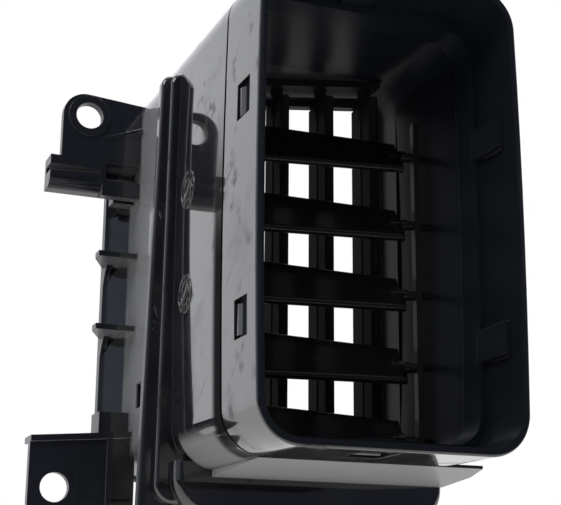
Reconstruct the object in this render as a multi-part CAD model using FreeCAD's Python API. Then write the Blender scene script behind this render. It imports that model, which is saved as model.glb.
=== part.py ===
"""Dashboard air vent: an outlet sleeve snapped on a duct body, with five tilting vanes in
front of five upright vanes, and a rear housing with its mounting ears.

Millimetres. X is to the right as the driver sees the outlet, Y runs back into the dashboard
and Z is up. The origin is the centre of the outlet's rim plane.
"""

import FreeCAD, Part

import math
import os

V = FreeCAD.Vector

# Outlet sleeve, the front piece.
SLEEVE_WIDTH = 64.0
SLEEVE_HEIGHT = 110.0
SLEEVE_DEPTH = 20.6
SLEEVE_WALL = 1.8
CORNER_RADIUS = 10.0
SIDE_BOW = 0.6
SMALLEST_RADIUS = 1.0
RIM_ROUND = 0.6
SLEEVE_CLEARANCE = 0.1

# Snap windows in the sleeve and the latches that sit in them.
WINDOW_LENGTH = 7.6
WINDOW_WIDTH = 8.6
WINDOW_CENTRE_Y = 9.0
END_WINDOW_LENGTH = 11.0
SIDE_WINDOW_HEIGHTS = (21.4, -27.7)
END_WINDOW_OFFSET = -2.5
TONGUE_THICKNESS = 1.2
TONGUE_TIP_Y = 4.6
TONGUE_WIDTH = 7.6
LATCH_HEIGHT = 1.5
LATCH_LENGTH = 5.0
LATCH_PLAY = 0.4

# Duct body.
SPIGOT_FRONT_Y = 16.2
SPIGOT_WALL_SIDE = 1.0
SPIGOT_WALL_END = 2.4
SPIGOT_SHOULDER = 2.4
JOINT_GROOVE = 1.0
BODY_WALL = 1.8
JOINT_PLANE_Y = 58.0
FRONT_FLANGE_THICKNESS = 2.4
FRONT_FLANGE_TOP_REACH = 2.6
FRONT_FLANGE_BOTTOM_REACH = 3.8
FRONT_FLANGE_DROP = 8.0
FLANGE_TOP_DROP = 9.5
FLANGE_CORNER = 4.5
FLANGE_END_RADIUS = 3.0
FLANGE_ROUND = 0.9

# Lower lip, the deep front face under the duct body, and the skirt that runs down to it.
LIP_DEPTH = 6.0
LIP_DROP = 11.0
LIP_RIGHT_REACH = 7.0
LIP_CORNER = 9.0
LIP_ROUND = 2.2
SKIRT_FRONT_DROP = 0.15
SKIRT_REAR_DROP = 2.0
SKIRT_LEFT_INSET = 9.0
SKIRT_EDGE = 0.6
SKIRT_FRONT_REACH = 0.4
SKIRT_MIDDLE_REACH = 4.6
SKIRT_MIDDLE_RUN = 13.0

# Rear housing.
HOUSING_WALL = 1.8
REAR_FLANGE_THICKNESS = 2.4
REAR_FLANGE_TOP_REACH = 4.4
REAR_FLANGE_BOTTOM_REACH = 7.2
REAR_FLANGE_DROP = 12.5
INLET_RIGHT_RUN = 8.0
INLET_SKEW_RUN = 36.0
RAIL_REACH = 6.4
RAIL_THICKNESS = 2.4
RAIL_TOP_DROP = 21.0
RAIL_BOTTOM_RISE = 13.0
WALL_SLOT_LENGTH = 4.4
WALL_SLOT_HEIGHT = 6.6
WALL_SLOT_SETBACK = 16.4
WALL_SLOT_Z = -33.2

# Mounting ears and brackets on the left of the rear housing. Reaches are measured from the
# sleeve's left side, setbacks from the inlet's left end.
EAR_SETBACK = 12.0
EAR_THICKNESS = 2.5
EAR_HOLE_RADIUS = 3.75
EAR_RING_RADIUS = 5.8
EAR_RING_HEIGHT = 0.5
EAR_REACH = 22.6
EAR_BOTTOM_Z = 31.0
EAR_TOP_Z = 49.9
EAR_TOP_FALL = 1.4
EAR_CORNER = 6.3
UPPER_HOLE_REACH = 15.4
UPPER_HOLE_Z = 43.6
GUSSET_REACH = 11.6
GUSSET_Z = 36.8
GUSSET_RISE = 4.6
GUSSET_HEIGHT = 1.0
BRACKET_REACH = 26.6
BRACKET_TOP_Z = -42.2
BRACKET_TOP_FALL = 2.3
BRACKET_BOTTOM_Z = -66.0
BRACKET_LIP_THICKNESS = 1.6
BRACKET_LIP_DEPTH = 7.0
BRACKET_LIP_FRONT = 1.0
BRACKET_CORNER = 5.0
BRACKET_RIB_REACH = 6.6
BRACKET_RIB_WIDTH = 1.4
BRACKET_RIB_HEIGHT = 0.7
BRACKET_BLOCK_REACH = 2.0
BRACKET_BLOCK_HEIGHT = 5.2
LOWER_HOLE_REACH = 19.8
LOWER_HOLE_Z = -57.3

# Hook below the upper ear, and the pocket between it and the wall.
HOOK_REACH = 25.4
HOOK_TOP_Z = 31.3
HOOK_BOTTOM_Z = 22.6
HOOK_SLOT_TOP_Z = 28.8
HOOK_SLOT_BOTTOM_Z = 26.9
HOOK_SLOT_TIP = 0.6
HOOK_SLOT_END_REACH = 11.2
HOOK_ROOT_REACH = 11.0
HOOK_DEPTH = 7.0
HOOK_ROUND = 2.0
HOOK_NOSE = 3.4
POCKET_WALL = 1.6
POCKET_FLOOR_DEPTH = 3.0
POCKET_FLOOR_Z = 21.4
POCKET_FRONT_TOP_Z = 26.0

# Gusset plates between rail and wall.
LEDGE_HEIGHTS = (6.0, -14.0)
LEDGE_TIP_REACH = 11.0
LEDGE_THICKNESS = 1.5
LEDGE_FRONT_WIDTH = 4.0
LEDGE_GUSSET_DROP = 9.0
LEDGE_GUSSET_FOOT = 1.5
LEDGE_GUSSET_CURVE = 5.2

# Tilting vanes, numbered from the top.
TILT_VANE_COUNT = 5
TILT_TOP_INSET = 29.3
TILT_BOTTOM_INSET = 8.3
TILT_AXIS_SETBACK = 12.2
TILT_AXIS_SKEW = 9.0
TILT_REST = 50.0
TILT_FRONT_CHORD = 6.2
TILT_REAR_CHORD_RIGHT = 6.6
TILT_REAR_CHORD_LEFT = 12.0
TILT_FRONT_THICKNESS = 2.2
TILT_REAR_THICKNESS = 1.0
TILT_RIGHT_INSET = 9.0
TILT_LEFT_INSET = 6.8
TILT_BOSS_RADIUS = 1.6
TILT_BOSS_LENGTH = 3.0
TILT_PIN_RADIUS = 0.9
TILT_PIN_CLEARANCE = 0.05
TILT_PIN_END_PLAY = 0.15
PIVOT_HOLE_SKIN = 0.55
CRANK_LENGTH = 4.5
CRANK_ANGLE = 145.0
CRANK_THICKNESS = 1.2
CRANK_RADIUS = 1.5
PEG_RADIUS = 0.7
PEG_CLEARANCE = 0.05
PEG_OVERHANG = 0.3
PEG_SHOULDER = 0.45
LINK_INSET = 7.2
LINK_THICKNESS = 1.4
LINK_WIDTH = 2.8
LINK_TOP_EXTRA = 9.4
LINK_BOTTOM_EXTRA = 2.2

# Upright vanes, numbered from the left.
UPRIGHT_COUNT = 5
UPRIGHT_SIDE_INSET = 9.4
UPRIGHT_RIGHT_RUN = 4.2
UPRIGHT_SKEW = 19.5
UPRIGHT_CHORD = 14.0
UPRIGHT_FRONT_THICKNESS = 2.5
UPRIGHT_REAR_THICKNESS = 1.2
UPRIGHT_PIN_RADIUS = 1.2
UPRIGHT_PIN_CLEARANCE = 0.05
UPRIGHT_BOSS_RADIUS = 1.7
UPRIGHT_PIN_IN_CARRIER = 1.4
UPRIGHT_END_GAP = 3.6
UPRIGHT_CRANK = 5.0
CARRIER_THICKNESS = 2.0
CARRIER_WIDTH = 8.0
CARRIER_END_INSET = 5.0
SEAT_CLEARANCE = 0.05
UPRIGHT_LINK_THICKNESS = 1.5
UPRIGHT_LINK_WIDTH = 2.8
UPRIGHT_LINK_RISE = 0.5
UPRIGHT_LINK_PLAY = 0.2
UPRIGHT_BOSS_OVERLAP = 4.0
UPRIGHT_PEG_ROOT = 3.0

# Foam seal behind the inlet.
SEAL_THICKNESS = 3.0
SEAL_OUTER_LAP = 0.4
SEAL_INNER_LAP = 3.6

# Values worked out from the sizes above.
HALF_WIDTH = SLEEVE_WIDTH / 2
HALF_HEIGHT = SLEEVE_HEIGHT / 2
SLEEVE_INNER_HALF = (HALF_WIDTH - SLEEVE_WALL, HALF_HEIGHT - SLEEVE_WALL)
SPIGOT_HALF = (SLEEVE_INNER_HALF[0] - SLEEVE_CLEARANCE, SLEEVE_INNER_HALF[1] - SLEEVE_CLEARANCE)
SPIGOT_INNER_HALF = (SPIGOT_HALF[0] - SPIGOT_WALL_SIDE, SPIGOT_HALF[1] - SPIGOT_WALL_END)
BODY_INNER_HALF = (HALF_WIDTH - BODY_WALL, HALF_HEIGHT - BODY_WALL)
HOUSING_INNER_HALF = (HALF_WIDTH - HOUSING_WALL, HALF_HEIGHT - HOUSING_WALL)
SHOULDER_Y = SLEEVE_DEPTH + JOINT_GROOVE
FLANGE_TOP_Z = HALF_HEIGHT - FLANGE_TOP_DROP
INLET_RIGHT_Y = JOINT_PLANE_Y + INLET_RIGHT_RUN
INLET_LEFT_Y = INLET_RIGHT_Y + INLET_SKEW_RUN
RAIL_TOP_Z = HALF_HEIGHT - RAIL_TOP_DROP
RAIL_BOTTOM_Z = -HALF_HEIGHT + RAIL_BOTTOM_RISE
RAIL_OUTER_X = -HALF_WIDTH - RAIL_REACH
WALL_SLOT_Y = INLET_LEFT_Y - WALL_SLOT_SETBACK
WALL_MIDDLE_X = -HALF_WIDTH + HOUSING_WALL / 2
EAR_PLANE_Y = INLET_LEFT_Y - EAR_SETBACK
TILT_TOP_PIVOT_Z = HALF_HEIGHT - TILT_TOP_INSET
TILT_PITCH = (SLEEVE_HEIGHT - TILT_TOP_INSET - TILT_BOTTOM_INSET) / (TILT_VANE_COUNT - 1)
TILT_AXIS_Y = JOINT_PLANE_Y - TILT_AXIS_SETBACK
TILT_RIGHT_END = HALF_WIDTH - TILT_RIGHT_INSET
TILT_LEFT_END = -HALF_WIDTH + TILT_LEFT_INSET
LINK_INNER_X = HALF_WIDTH - LINK_INSET
UPRIGHT_PITCH = (SLEEVE_WIDTH - 2 * UPRIGHT_SIDE_INSET) / (UPRIGHT_COUNT - 1)
UPRIGHT_RIGHT_Y = JOINT_PLANE_Y + UPRIGHT_RIGHT_RUN
PIVOT_HOLE_END_X = HALF_WIDTH - PIVOT_HOLE_SKIN
INLET_SLOPE = (INLET_LEFT_Y - INLET_RIGHT_Y) / SLEEVE_WIDTH
INLET_SKEW = math.degrees(math.atan(INLET_SLOPE))
CARRIER_FACE_Z = HOUSING_INNER_HALF[1] - CARRIER_THICKNESS
UPRIGHT_SLOPE = math.tan(math.radians(UPRIGHT_SKEW))


def outline(half_width, half_height, radius, bow, y):
    """A closed wire in a plane across Y: a rectangle with round corners and bowed sides."""
    x, z, r = half_width, half_height, radius
    c = r * (1 - math.sqrt(0.5))
    right = Part.LineSegment(V(x, y, -z + r), V(x, y, z - r))
    left = Part.LineSegment(V(-x, y, z - r), V(-x, y, -z + r))
    if bow:
        right = Part.Arc(V(x, y, -z + r), V(x + bow, y, 0), V(x, y, z - r))
        left = Part.Arc(V(-x, y, z - r), V(-x - bow, y, 0), V(-x, y, -z + r))
    parts = [
        Part.LineSegment(V(-x + r, y, -z), V(x - r, y, -z)),
        Part.Arc(V(x - r, y, -z), V(x - c, y, -z + c), V(x, y, -z + r)),
        right,
        Part.Arc(V(x, y, z - r), V(x - c, y, z - c), V(x - r, y, z)),
        Part.LineSegment(V(x - r, y, z), V(-x + r, y, z)),
        Part.Arc(V(-x + r, y, z), V(-x + c, y, z - c), V(-x, y, z - r)),
        left,
        Part.Arc(V(-x, y, -z + r), V(-x + c, y, -z + c), V(-x + r, y, -z)),
    ]
    return Part.Wire([p.toShape() for p in parts])


def prism(half, y0, y1, bow=SIDE_BOW):
    """A solid of that outline from y0 to y1. The corner radius follows the sleeve's own."""
    radius = max(SMALLEST_RADIUS, CORNER_RADIUS - (HALF_WIDTH - half[0]))
    return Part.Face(outline(half[0], half[1], radius, bow, y0)).extrude(V(0, y1 - y0, 0))


def box(x0, x1, y0, y1, z0, z1):
    """A box between two opposite corners."""
    return Part.makeBox(x1 - x0, y1 - y0, z1 - z0, V(x0, y0, z0))


def polygon(points, direction):
    """A solid made by extruding a closed polygon along a vector."""
    return Part.Face(Part.makePolygon(points + [points[0]])).extrude(direction)


def rounded(shape, radius, keep):
    """The shape with a fillet on each edge that the test keeps."""
    chosen = [edge for edge in shape.Edges if keep(edge)]
    return shape.makeFillet(radius, chosen)


def lies_at(edge, axis, value):
    """True where the whole edge lies at one value of an axis."""
    low, high = edge.BoundBox.XMin, edge.BoundBox.XMax
    if axis == "y":
        low, high = edge.BoundBox.YMin, edge.BoundBox.YMax
    if axis == "z":
        low, high = edge.BoundBox.ZMin, edge.BoundBox.ZMax
    return abs(low - value) < 1e-3 and abs(high - value) < 1e-3


def runs_along(edge, axis):
    """True for a straight edge that is parallel to an axis."""
    size = (edge.BoundBox.XLength, edge.BoundBox.YLength, edge.BoundBox.ZLength)
    along = "xyz".index(axis)
    return all(size[k] < 1e-3 for k in range(3) if k != along)


def side_boxes(length, width, reach_in, reach_out):
    """One box for each snap window in the side walls, two to a side."""
    found = []
    for z in SIDE_WINDOW_HEIGHTS:
        for side in (-1, 1):
            xs = sorted((side * (HALF_WIDTH - reach_in), side * (HALF_WIDTH + reach_out)))
            found.append(box(xs[0], xs[1], WINDOW_CENTRE_Y - length / 2, WINDOW_CENTRE_Y + length / 2,
                             z - width / 2, z + width / 2))
    return found


def end_boxes(length, width, reach_in, reach_out):
    """One box for the snap window below and one for the window above."""
    found = []
    x = END_WINDOW_OFFSET
    for side in (-1, 1):
        zs = sorted((side * (HALF_HEIGHT - reach_in), side * (HALF_HEIGHT + reach_out)))
        found.append(box(x - width / 2, x + width / 2, WINDOW_CENTRE_Y - length / 2,
                         WINDOW_CENTRE_Y + length / 2, zs[0], zs[1]))
    return found


def outlet_sleeve():
    """The front sleeve, a smooth rim with six snap windows."""
    shell = prism((HALF_WIDTH, HALF_HEIGHT), 0, SLEEVE_DEPTH)
    shell = rounded(shell, RIM_ROUND, lambda e: lies_at(e, "y", 0))
    shell = shell.cut(prism(SLEEVE_INNER_HALF, -1, SLEEVE_DEPTH + 1))
    windows = side_boxes(WINDOW_LENGTH, WINDOW_WIDTH, SLEEVE_WALL + 1, SIDE_BOW + 1)
    windows += end_boxes(END_WINDOW_LENGTH, WINDOW_WIDTH, SLEEVE_WALL + 1, 1)
    for window in windows:
        shell = shell.cut(window)
    return shell


def latch_tongues():
    """Tongues that reach forward inside the sleeve, each with a ramped latch in its window."""
    band = prism(SPIGOT_HALF, TONGUE_TIP_Y, SPIGOT_FRONT_Y + 1)
    inner = (SPIGOT_HALF[0] - TONGUE_THICKNESS, SPIGOT_HALF[1] - TONGUE_THICKNESS)
    band = band.cut(prism(inner, TONGUE_TIP_Y - 1, SPIGOT_FRONT_Y + 2))
    length = 2 * (SPIGOT_FRONT_Y + 1 - WINDOW_CENTRE_Y)
    reach = SLEEVE_WALL + TONGUE_THICKNESS + 1
    strips = side_boxes(length, TONGUE_WIDTH, reach, 0) + end_boxes(length, TONGUE_WIDTH, reach, 0)
    tongues = [band.common(strip) for strip in strips]
    tongues += [latch(side, z) for z in SIDE_WINDOW_HEIGHTS for side in (-1, 1)]
    return tongues + [end_latch(side) for side in (-1, 1)]


def bow_at(z):
    """How far the bowed side stands out at a height."""
    straight = HALF_HEIGHT - CORNER_RADIUS
    return SIDE_BOW * (1 - (z / straight) ** 2)


def latch(side, z):
    """A ramp on a side tongue, high at its rear face."""
    x0 = SPIGOT_HALF[0] - TONGUE_THICKNESS / 2
    x1 = SPIGOT_HALF[0] + bow_at(z) + LATCH_HEIGHT
    rear = WINDOW_CENTRE_Y + WINDOW_LENGTH / 2 - LATCH_PLAY
    low = z - TONGUE_WIDTH / 2 + LATCH_PLAY
    points = [V(side * x0, rear - LATCH_LENGTH, low), V(side * x1, rear - 1, low),
              V(side * x1, rear, low), V(side * x0, rear, low)]
    return polygon(points, V(0, 0, TONGUE_WIDTH - 2 * LATCH_PLAY))


def end_latch(side):
    """A ramp on the tongue below or above."""
    z0 = SPIGOT_HALF[1] - TONGUE_THICKNESS / 2
    z1 = SPIGOT_HALF[1] + LATCH_HEIGHT
    rear = WINDOW_CENTRE_Y + WINDOW_LENGTH / 2 - LATCH_PLAY
    left = END_WINDOW_OFFSET - TONGUE_WIDTH / 2 + LATCH_PLAY
    points = [V(left, rear - LATCH_LENGTH, side * z0), V(left, rear - 1, side * z1),
              V(left, rear, side * z1), V(left, rear, side * z0)]
    return polygon(points, V(TONGUE_WIDTH - 2 * LATCH_PLAY, 0, 0))


def flange_plate(top_reach, bottom_reach, drop, y0, y1):
    """A flange round both sides and the bottom, whose reach grows from top to bottom."""
    bottom = -HALF_HEIGHT - drop
    xt = HALF_WIDTH + top_reach
    xb = HALF_WIDTH + bottom_reach
    corners = [V(-xb, y0, bottom), V(xb, y0, bottom), V(xt, y0, FLANGE_TOP_Z), V(-xt, y0, FLANGE_TOP_Z)]
    plate = polygon(corners, V(0, y1 - y0, 0))
    plate = rounded(plate, FLANGE_CORNER, lambda e: runs_along(e, "y") and e.BoundBox.ZMax < 0)
    return rounded(plate, FLANGE_END_RADIUS, lambda e: runs_along(e, "y") and e.BoundBox.ZMin > 0)


def lower_lip(y1):
    """The deep lip under the duct body, with round corners and a round front edge."""
    right = HALF_WIDTH + LIP_RIGHT_REACH
    low = -HALF_HEIGHT - LIP_DROP
    top = -HALF_HEIGHT + BODY_WALL
    front = y1 - LIP_DEPTH
    lip = box(-HALF_WIDTH, right, front, y1, low, top)
    lip = rounded(lip, LIP_CORNER, lambda e: runs_along(e, "y") and e.BoundBox.ZMax < low + 1)
    return rounded(lip, LIP_ROUND, lambda e: lies_at(e, "y", front) and e.BoundBox.ZMin < top - 1)


def skirt(y1):
    """The underside that slopes from the shoulder to the lower lip and flares out to the right."""
    top = -HALF_HEIGHT + SKIRT_EDGE
    left = -HALF_WIDTH + SKIRT_LEFT_INSET
    right = HALF_WIDTH + LIP_RIGHT_REACH
    profile = [V(left, SHOULDER_Y, top), V(left, SHOULDER_Y, -HALF_HEIGHT - SKIRT_FRONT_DROP),
               V(left, y1, -HALF_HEIGHT - SKIRT_REAR_DROP), V(left, y1, top)]
    low = -HALF_HEIGHT - SKIRT_REAR_DROP
    plan = [V(left, SHOULDER_Y, low), V(HALF_WIDTH + SKIRT_FRONT_REACH, SHOULDER_Y, low),
            V(HALF_WIDTH + SKIRT_MIDDLE_REACH, SHOULDER_Y + SKIRT_MIDDLE_RUN, low),
            V(right, y1 - LIP_DEPTH / 2, low), V(right, y1, low), V(left, y1, low)]
    return polygon(profile, V(right - left, 0, 0)).common(polygon(plan, V(0, 0, top - low)))


def duct_body():
    """The duct from the snap spigot to its rear flange."""
    tube = prism(SPIGOT_HALF, SPIGOT_FRONT_Y, SHOULDER_Y + 1)
    tube = tube.fuse(prism((HALF_WIDTH, HALF_HEIGHT), SHOULDER_Y, JOINT_PLANE_Y))
    flange = flange_plate(FRONT_FLANGE_TOP_REACH, FRONT_FLANGE_BOTTOM_REACH, FRONT_FLANGE_DROP,
                          JOINT_PLANE_Y - FRONT_FLANGE_THICKNESS, JOINT_PLANE_Y)
    flange = rounded(flange, FLANGE_ROUND,
                     lambda e: lies_at(e, "y", JOINT_PLANE_Y - FRONT_FLANGE_THICKNESS))
    tube = tube.fuse([flange, lower_lip(JOINT_PLANE_Y), skirt(JOINT_PLANE_Y)])
    tube = tube.cut(prism(SPIGOT_INNER_HALF, SPIGOT_FRONT_Y - 1, SHOULDER_Y + SPIGOT_SHOULDER + 1))
    tube = tube.cut(prism(BODY_INNER_HALF, SHOULDER_Y + SPIGOT_SHOULDER, JOINT_PLANE_Y + 1))
    for index in range(TILT_VANE_COUNT):
        tube = tube.cut(pivot_hole(index))
    return tube.fuse(latch_tongues()).removeSplitter()


def behind_inlet():
    """A big solid behind the skewed inlet plane, to cut the housing's rear end."""
    reach = 3 * SLEEVE_WIDTH
    y_left = INLET_LEFT_Y + (reach - HALF_WIDTH) * INLET_SLOPE
    y_right = INLET_RIGHT_Y - (reach - HALF_WIDTH) * INLET_SLOPE
    low = -2 * SLEEVE_HEIGHT
    far = y_left + reach
    return polygon([V(-reach, y_left, low), V(reach, y_right, low), V(reach, far, low), V(-reach, far, low)],
                   V(0, 0, 4 * SLEEVE_HEIGHT))


def inlet_slab(x0, x1, z0, z1, front, back):
    """A slab parallel to the inlet plane, between two X values, measured from that plane."""
    def at(x, offset):
        return V(x, INLET_LEFT_Y - (x + HALF_WIDTH) * INLET_SLOPE + offset, z0)
    return polygon([at(x0, front), at(x1, front), at(x1, back), at(x0, back)], V(0, 0, z1 - z0))


def rail_thickness():
    """A rail's thickness along Y."""
    return RAIL_THICKNESS / math.cos(math.radians(INLET_SKEW))


def side_rails():
    """Rear rails along the inlet's left and right sides."""
    thick = rail_thickness()
    spans = ((RAIL_OUTER_X, -HALF_WIDTH + HOUSING_WALL),
             (HALF_WIDTH - HOUSING_WALL, HALF_WIDTH + RAIL_REACH / 2))
    return [inlet_slab(x0, x1, RAIL_BOTTOM_Z, RAIL_TOP_Z, -thick, 0) for x0, x1 in spans]


def rail_y(x):
    """Y of the middle of the rear rail at an X."""
    return INLET_LEFT_Y - (x + HALF_WIDTH) * INLET_SLOPE - rail_thickness() / 2


def ledge(z):
    """A level gusset plate from the wall to the rail, with a curved web under it."""
    tip = -HALF_WIDTH - LEDGE_TIP_REACH
    far = rail_y(RAIL_OUTER_X)
    plate = polygon([V(WALL_MIDDLE_X, EAR_PLANE_Y, z), V(tip, EAR_PLANE_Y, z),
                     V(tip, EAR_PLANE_Y + LEDGE_FRONT_WIDTH, z), V(RAIL_OUTER_X, far, z),
                     V(WALL_MIDDLE_X, rail_y(WALL_MIDDLE_X), z)], V(0, 0, -LEDGE_THICKNESS))
    low = z - LEDGE_GUSSET_DROP
    high = z - LEDGE_THICKNESS / 2
    near = EAR_PLANE_Y + LEDGE_THICKNESS
    foot = far - LEDGE_GUSSET_FOOT
    x = RAIL_OUTER_X
    middle = V(x, foot - LEDGE_THICKNESS, low + LEDGE_GUSSET_CURVE)
    edges = [Part.Arc(V(x, near, high), middle, V(x, foot, low)).toShape(),
             Part.makeLine(V(x, foot, low), V(x, far, low)),
             Part.makeLine(V(x, far, low), V(x, far, high)),
             Part.makeLine(V(x, far, high), V(x, near, high))]
    web = Part.Face(Part.Wire(edges)).extrude(V(LEDGE_THICKNESS, 0, 0))
    return [plate, web]


def screw_hole(reach, z):
    """A rod along Y for one mounting hole, at a reach from the sleeve's side."""
    start = V(-HALF_WIDTH - reach, EAR_PLANE_Y - EAR_THICKNESS, z)
    return Part.makeCylinder(EAR_HOLE_RADIUS, 4 * EAR_THICKNESS, start, V(0, 1, 0))


def ear_plate():
    """The upper mounting ear with its hole, raised ring and slanting gusset."""
    left = -HALF_WIDTH - EAR_REACH
    y0 = EAR_PLANE_Y
    plate = polygon([V(left, y0, EAR_BOTTOM_Z), V(WALL_MIDDLE_X, y0, EAR_BOTTOM_Z),
                     V(WALL_MIDDLE_X, y0, EAR_TOP_Z - EAR_TOP_FALL), V(left + EAR_CORNER, y0, EAR_TOP_Z),
                     V(left, y0, EAR_TOP_Z)], V(0, EAR_THICKNESS, 0))
    plate = rounded(plate, EAR_CORNER, lambda e: runs_along(e, "y") and e.BoundBox.XMax < left + 1
                    and e.BoundBox.ZMin > EAR_TOP_Z - 1)
    start = V(-HALF_WIDTH - UPPER_HOLE_REACH, y0 - EAR_RING_HEIGHT, UPPER_HOLE_Z)
    ring = Part.makeCylinder(EAR_RING_RADIUS, EAR_RING_HEIGHT + EAR_THICKNESS / 2, start, V(0, 1, 0))
    x0, x1 = -HALF_WIDTH - GUSSET_REACH, WALL_MIDDLE_X
    gusset = polygon([V(x0, y0, GUSSET_Z), V(x1, y0 - GUSSET_HEIGHT, GUSSET_Z + GUSSET_RISE),
                      V(x1, y0 + EAR_THICKNESS / 2, GUSSET_Z + GUSSET_RISE),
                      V(x0, y0 + EAR_THICKNESS / 2, GUSSET_Z)], V(0, 0, GUSSET_HEIGHT))
    return plate.fuse([ring, gusset]).cut(screw_hole(UPPER_HOLE_REACH, UPPER_HOLE_Z))


def hook():
    """The forked hook, open to the left, and the pocket between it and the wall."""
    left, root = -HALF_WIDTH - HOOK_REACH, -HALF_WIDTH - HOOK_ROOT_REACH
    tip = -HALF_WIDTH - HOOK_SLOT_END_REACH
    wall = WALL_MIDDLE_X
    y0, y1 = EAR_PLANE_Y, EAR_PLANE_Y + HOOK_DEPTH
    fork = box(left, root, y0, y1, HOOK_BOTTOM_Z, HOOK_TOP_Z)
    fork = rounded(fork, HOOK_NOSE, lambda e: lies_at(e, "y", y0) and lies_at(e, "z", HOOK_BOTTOM_Z))
    points = [V(left - 1, y0 - 1, HOOK_SLOT_BOTTOM_Z), V(left - 1, y0 - 1, HOOK_SLOT_TOP_Z),
              V(tip, y0 - 1, HOOK_SLOT_TOP_Z - HOOK_SLOT_TIP / 2),
              V(tip, y0 - 1, HOOK_SLOT_TOP_Z - HOOK_SLOT_TIP * 3 / 2)]
    slot = polygon(points, V(0, HOOK_DEPTH + 1 - POCKET_WALL, 0))
    web = box(root - POCKET_WALL / 2, root + POCKET_WALL / 2, y0, y1, HOOK_BOTTOM_Z + HOOK_ROUND, HOOK_TOP_Z)
    roof = box(root, wall, y0 + 1, y1, HOOK_TOP_Z - POCKET_WALL, HOOK_TOP_Z)
    floor = box(root, wall, y0, y0 + POCKET_FLOOR_DEPTH, POCKET_FLOOR_Z, POCKET_FLOOR_Z + POCKET_WALL)
    back = box(root, wall, y1 - POCKET_WALL, y1, HOOK_BOTTOM_Z, HOOK_TOP_Z)
    front = box(root, wall, y0, y0 + POCKET_WALL, POCKET_FLOOR_Z, POCKET_FRONT_TOP_Z)
    stem = box(RAIL_OUTER_X, wall, y1 - POCKET_WALL, rail_y(wall), POCKET_FLOOR_Z, HOOK_TOP_Z)
    return [fork.cut(slot), web, roof, floor, back, front, stem]


def lower_bracket():
    """The lower mounting plate with its top lip, a rib and the web to the wall."""
    left = -HALF_WIDTH - BRACKET_REACH
    y0, y1 = EAR_PLANE_Y, EAR_PLANE_Y + EAR_THICKNESS
    top_left = BRACKET_TOP_Z - BRACKET_TOP_FALL
    front = [V(left, y0, BRACKET_BOTTOM_Z), V(WALL_MIDDLE_X, y0, BRACKET_BOTTOM_Z),
             V(WALL_MIDDLE_X, y0, BRACKET_TOP_Z), V(left, y0, top_left)]
    plate = polygon(front, V(0, y1 - y0, 0))
    plate = rounded(plate, BRACKET_CORNER, lambda e: runs_along(e, "y") and e.BoundBox.XMax < left + 1
                    and e.BoundBox.ZMax < BRACKET_BOTTOM_Z + 1)
    lip_y = y0 - BRACKET_LIP_FRONT
    drop = V(0, 0, -BRACKET_LIP_THICKNESS)
    edge = [V(left, lip_y, top_left), V(WALL_MIDDLE_X, lip_y, BRACKET_TOP_Z)]
    lip = polygon([edge[0], edge[1], edge[1] + drop, edge[0] + drop],
                  V(0, BRACKET_LIP_FRONT + BRACKET_LIP_DEPTH, 0))
    rib_x = -HALF_WIDTH - BRACKET_RIB_REACH
    rib = box(rib_x, rib_x + BRACKET_RIB_WIDTH, y0 - BRACKET_RIB_HEIGHT, y0 + EAR_THICKNESS / 2,
              BRACKET_BOTTOM_Z, BRACKET_TOP_Z - BRACKET_LIP_THICKNESS / 2)
    far = rail_y(-HALF_WIDTH)
    side = box(rib_x, rib_x + HOUSING_WALL, y0, far, BRACKET_BOTTOM_Z + BRACKET_CORNER, BRACKET_TOP_Z
               - BRACKET_LIP_THICKNESS)
    block = box(RAIL_OUTER_X - BRACKET_BLOCK_REACH, WALL_MIDDLE_X, y0 + EAR_THICKNESS, far,
                BRACKET_TOP_Z - BRACKET_LIP_THICKNESS, BRACKET_TOP_Z + BRACKET_BLOCK_HEIGHT)
    return [plate.fuse([lip, rib]).cut(screw_hole(LOWER_HOLE_REACH, LOWER_HOLE_Z)), side, block]


def rear_housing():
    """The wedge-shaped housing from the joint flange to the skewed inlet, with its mounts."""
    reach = INLET_LEFT_Y + RAIL_REACH
    shell = prism((HALF_WIDTH, HALF_HEIGHT), JOINT_PLANE_Y, reach, 0)
    shell = shell.cut(behind_inlet())
    flange = flange_plate(REAR_FLANGE_TOP_REACH, REAR_FLANGE_BOTTOM_REACH, REAR_FLANGE_DROP,
                          JOINT_PLANE_Y, JOINT_PLANE_Y + REAR_FLANGE_THICKNESS)
    flange = rounded(flange, FLANGE_ROUND, lambda e: lies_at(e, "y", JOINT_PLANE_Y))
    shell = shell.fuse([flange] + side_rails() + [ear_plate()] + hook() + lower_bracket())
    for z in LEDGE_HEIGHTS:
        shell = shell.fuse(ledge(z))
    shell = shell.cut(prism(HOUSING_INNER_HALF, JOINT_PLANE_Y - 1, reach + SLEEVE_WIDTH, 0))
    slot = box(-HALF_WIDTH - 1, -HALF_WIDTH + HOUSING_WALL + 1, WALL_SLOT_Y - WALL_SLOT_LENGTH / 2,
               WALL_SLOT_Y + WALL_SLOT_LENGTH / 2, WALL_SLOT_Z - WALL_SLOT_HEIGHT / 2,
               WALL_SLOT_Z + WALL_SLOT_HEIGHT / 2)
    return shell.cut(slot).removeSplitter()


def tilt_pivot(index):
    """The point on a tilting vane's axis at X = 0."""
    return V(0, TILT_AXIS_Y, TILT_TOP_PIVOT_Z - index * TILT_PITCH)


def place_tilted(shape, index, tilt):
    """Turns a shape built about its own X axis by the tilt, then the skew, and moves it to its pivot."""
    moved = shape.copy()
    moved.rotate(V(0, 0, 0), V(1, 0, 0), tilt)
    moved.rotate(V(0, 0, 0), V(0, 0, 1), -TILT_AXIS_SKEW)
    moved.translate(tilt_pivot(index))
    return moved


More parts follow.
